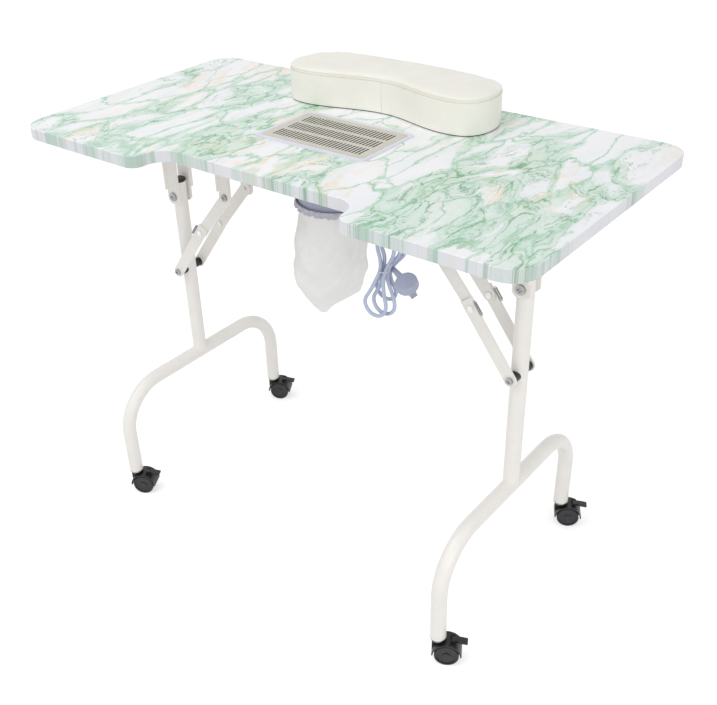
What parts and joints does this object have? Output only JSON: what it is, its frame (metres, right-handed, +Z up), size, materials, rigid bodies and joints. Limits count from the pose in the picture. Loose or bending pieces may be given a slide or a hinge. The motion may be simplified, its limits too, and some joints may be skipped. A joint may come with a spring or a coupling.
{
  "type": "folding manicure table",
  "caption": "Folding manicure table on caster legs, with a marbled top, a padded wrist rest and a built-in dust fan with hanging bag.",
  "frame": {"origin": "on the floor, under the middle of the top", "axes": "+X along the top's length, to the right for the technician sitting at the recessed edge; +Y from that edge towards the client; +Z up"},
  "size_m": [0.9, 0.465, 0.76],
  "materials": {
    "marble_top": "satin",
    "bezel_plastic": "gloss",
    "grille_coat": "satin",
    "housing_plastic": "matte",
    "black_plastic": "matte",
    "powder_coat": "satin",
    "zinc_steel": "satin",
    "motor_core": "satin",
    "cushion_leather": "satin",
    "board": "matte",
    "bag_fabric": "matte",
    "cord_rubber": "satin",
    "clear_plastic": "gloss",
    "wheel_tread": "satin"
  },
  "bodies": {
    "tabletop": {"table_top": "marble_top", "fan_bezel": "bezel_plastic", "fan_housing": "housing_plastic", "housing_screws": "zinc_steel", "fan_frame": "black_plastic", "fan_stator": "motor_core", "fan_screws": "zinc_steel", "switch_body": "black_plastic", "cord_gland": "black_plastic", "power_cord": "cord_rubber", "cord_hank": "cord_rubber", "cord_tie": "cord_rubber", "plug_body": "cord_rubber", "plug_pins": "zinc_steel", "plug_cap": "clear_plastic", "left_hinge_bracket": "powder_coat", "right_hinge_bracket": "powder_coat", "left_stay_bracket": "powder_coat", "right_stay_bracket": "powder_coat", "bracket_screws": "zinc_steel", "pivot_bolts": "zinc_steel"},
    "fan_rotor": {"fan_rotor": "black_plastic"},
    "fan_grille": {"fan_grille": "grille_coat"},
    "wrist_rest": {"wrist_cushion": "cushion_leather", "wrist_board": "board"},
    "dust_bag": {"dust_bag": "bag_fabric", "bag_elastic": "bag_fabric"},
    "switch_rocker": {"switch_rocker": "black_plastic"},
    "left_leg": {"left_leg_upright": "powder_coat", "left_foot_tube": "powder_coat", "left_tube_cap": "black_plastic", "left_stay_spacers": "black_plastic", "left_caster_stems": "zinc_steel"},
    "left_upper_stays": {"left_upper_stays": "powder_coat"},
    "left_lower_stays": {"left_lower_stays": "powder_coat", "left_knuckle_rivets": "zinc_steel", "left_stay_bolts": "zinc_steel", "left_stay_springs": "zinc_steel"},
    "front_left_caster": {"front_left_caster_hood": "black_plastic"},
    "front_left_caster_wheels": {"front_left_caster_wheels": "wheel_tread"},
    "front_left_caster_brake": {"front_left_caster_brake": "black_plastic"},
    "rear_left_caster": {"rear_left_caster_hood": "black_plastic"},
    "rear_left_caster_wheels": {"rear_left_caster_wheels": "wheel_tread"},
    "rear_left_caster_brake": {"rear_left_caster_brake": "black_plastic"},
    "right_leg": {"right_leg_upright": "powder_coat", "right_foot_tube": "powder_coat", "right_tube_cap": "black_plastic", "right_stay_spacers": "black_plastic", "right_caster_stems": "zinc_steel"},
    "right_upper_stays": {"right_upper_stays": "powder_coat"},
    "right_lower_stays": {"right_lower_stays": "powder_coat", "right_knuckle_rivets": "zinc_steel", "right_stay_bolts": "zinc_steel", "right_stay_springs": "zinc_steel"},
    "front_right_caster": {"front_right_caster_hood": "black_plastic"},
    "front_right_caster_wheels": {"front_right_caster_wheels": "wheel_tread"},
    "front_right_caster_brake": {"front_right_caster_brake": "black_plastic"},
    "rear_right_caster": {"rear_right_caster_hood": "black_plastic"},
    "rear_right_caster_wheels": {"rear_right_caster_wheels": "wheel_tread"},
    "rear_right_caster_brake": {"rear_right_caster_brake": "black_plastic"}
  },
  "joints": [
    {"name": "left_leg_fold", "type": "hinge", "parent": "tabletop", "child": "left_leg", "pos_m": [-0.341, -0.015, 0.534], "axis": [0, -1, 0], "range_deg": [0, 90], "deforming": ["dust_bag"]},
    {"name": "left_stay_swing", "type": "hinge", "parent": "tabletop", "child": "left_upper_stays", "pos_m": [-0.2015, -0.015, 0.569], "axis": [0, -1, 0], "range_deg": [0, 139.52]},
    {"name": "left_knuckle_fold", "type": "hinge", "parent": "left_upper_stays", "child": "left_lower_stays", "pos_m": [-0.27143, -0.015, 0.48707], "axis": [0, 1, 0], "range_deg": [0, 166.74]},
    {"name": "front_left_caster_swivel", "type": "hinge", "parent": "left_leg", "child": "front_left_caster", "pos_m": [-0.341, -0.21, 0.04], "axis": [0, 0, 1], "continuous": true},
    {"name": "front_left_caster_roll", "type": "hinge", "parent": "front_left_caster", "child": "front_left_caster_wheels", "pos_m": [-0.32888, -0.203, 0.019], "axis": [-0.5, 0.866, 0], "continuous": true},
    {"name": "front_left_caster_brake_press", "type": "hinge", "parent": "front_left_caster", "child": "front_left_caster_brake", "pos_m": [-0.32108, -0.1985, 0.04307], "axis": [-0.5, 0.866, 0], "range_deg": [0, 12]},
    {"name": "rear_left_caster_swivel", "type": "hinge", "parent": "left_leg", "child": "rear_left_caster", "pos_m": [-0.341, 0.18, 0.04], "axis": [0, 0, 1], "continuous": true},
    {"name": "rear_left_caster_roll", "type": "hinge", "parent": "rear_left_caster", "child": "rear_left_caster_wheels", "pos_m": [-0.32888, 0.187, 0.019], "axis": [-0.5, 0.866, 0], "continuous": true},
    {"name": "rear_left_caster_brake_press", "type": "hinge", "parent": "rear_left_caster", "child": "rear_left_caster_brake", "pos_m": [-0.32108, 0.1915, 0.04307], "axis": [-0.5, 0.866, 0], "range_deg": [0, 12]},
    {"name": "right_leg_fold", "type": "hinge", "parent": "tabletop", "child": "right_leg", "pos_m": [0.341, -0.015, 0.561], "axis": [0, 1, 0], "range_deg": [0, 90], "deforming": ["dust_bag"]},
    {"name": "right_stay_swing", "type": "hinge", "parent": "tabletop", "child": "right_upper_stays", "pos_m": [0.2015, -0.015, 0.596], "axis": [0, 1, 0], "range_deg": [0, 139.52]},
    {"name": "right_knuckle_fold", "type": "hinge", "parent": "right_upper_stays", "child": "right_lower_stays", "pos_m": [0.27143, -0.015, 0.51407], "axis": [0, -1, 0], "range_deg": [0, 166.74]},
    {"name": "front_right_caster_swivel", "type": "hinge", "parent": "right_leg", "child": "front_right_caster", "pos_m": [0.341, -0.21, 0.04], "axis": [0, 0, 1], "continuous": true},
    {"name": "front_right_caster_roll", "type": "hinge", "parent": "front_right_caster", "child": "front_right_caster_wheels", "pos_m": [0.35312, -0.203, 0.019], "axis": [-0.5, 0.866, 0], "continuous": true},
    {"name": "front_right_caster_brake_press", "type": "hinge", "parent": "front_right_caster", "child": "front_right_caster_brake", "pos_m": [0.36092, -0.1985, 0.04307], "axis": [-0.5, 0.866, 0], "range_deg": [0, 12]},
    {"name": "rear_right_caster_swivel", "type": "hinge", "parent": "right_leg", "child": "rear_right_caster", "pos_m": [0.341, 0.18, 0.04], "axis": [0, 0, 1], "continuous": true},
    {"name": "rear_right_caster_roll", "type": "hinge", "parent": "rear_right_caster", "child": "rear_right_caster_wheels", "pos_m": [0.35312, 0.187, 0.019], "axis": [-0.5, 0.866, 0], "continuous": true},
    {"name": "rear_right_caster_brake_press", "type": "hinge", "parent": "rear_right_caster", "child": "rear_right_caster_brake", "pos_m": [0.36092, 0.1915, 0.04307], "axis": [-0.5, 0.866, 0], "range_deg": [0, 12]},
    {"name": "fan_spin", "type": "hinge", "parent": "tabletop", "child": "fan_rotor", "pos_m": [0, 0, 0.655], "axis": [0, 0, 1], "continuous": true},
    {"name": "grille_lift", "type": "slide", "parent": "tabletop", "child": "fan_grille", "axis": [0, 0, 1], "range_m": [0, 0.03]},
    {"name": "wrist_rest_lift", "type": "slide", "parent": "tabletop", "child": "wrist_rest", "axis": [0, 0, 1], "range_m": [0, 0.05]},
    {"name": "bag_pull_off", "type": "slide", "parent": "tabletop", "child": "dust_bag", "axis": [0, 0, -1], "range_m": [0, 0.02]},
    {"name": "switch_press", "type": "hinge", "parent": "tabletop", "child": "switch_rocker", "pos_m": [0.1005, 0.022, 0.661], "axis": [0, 0, 1], "range_deg": [0, 14]}
  ],
  "couplings": [
    {"joint": "left_stay_swing", "follows": "left_leg_fold", "ratio": 1.5497},
    {"joint": "left_knuckle_fold", "follows": "left_leg_fold", "ratio": 1.8522},
    {"joint": "right_stay_swing", "follows": "right_leg_fold", "ratio": 1.5497},
    {"joint": "right_knuckle_fold", "follows": "right_leg_fold", "ratio": 1.8522}
  ]
}
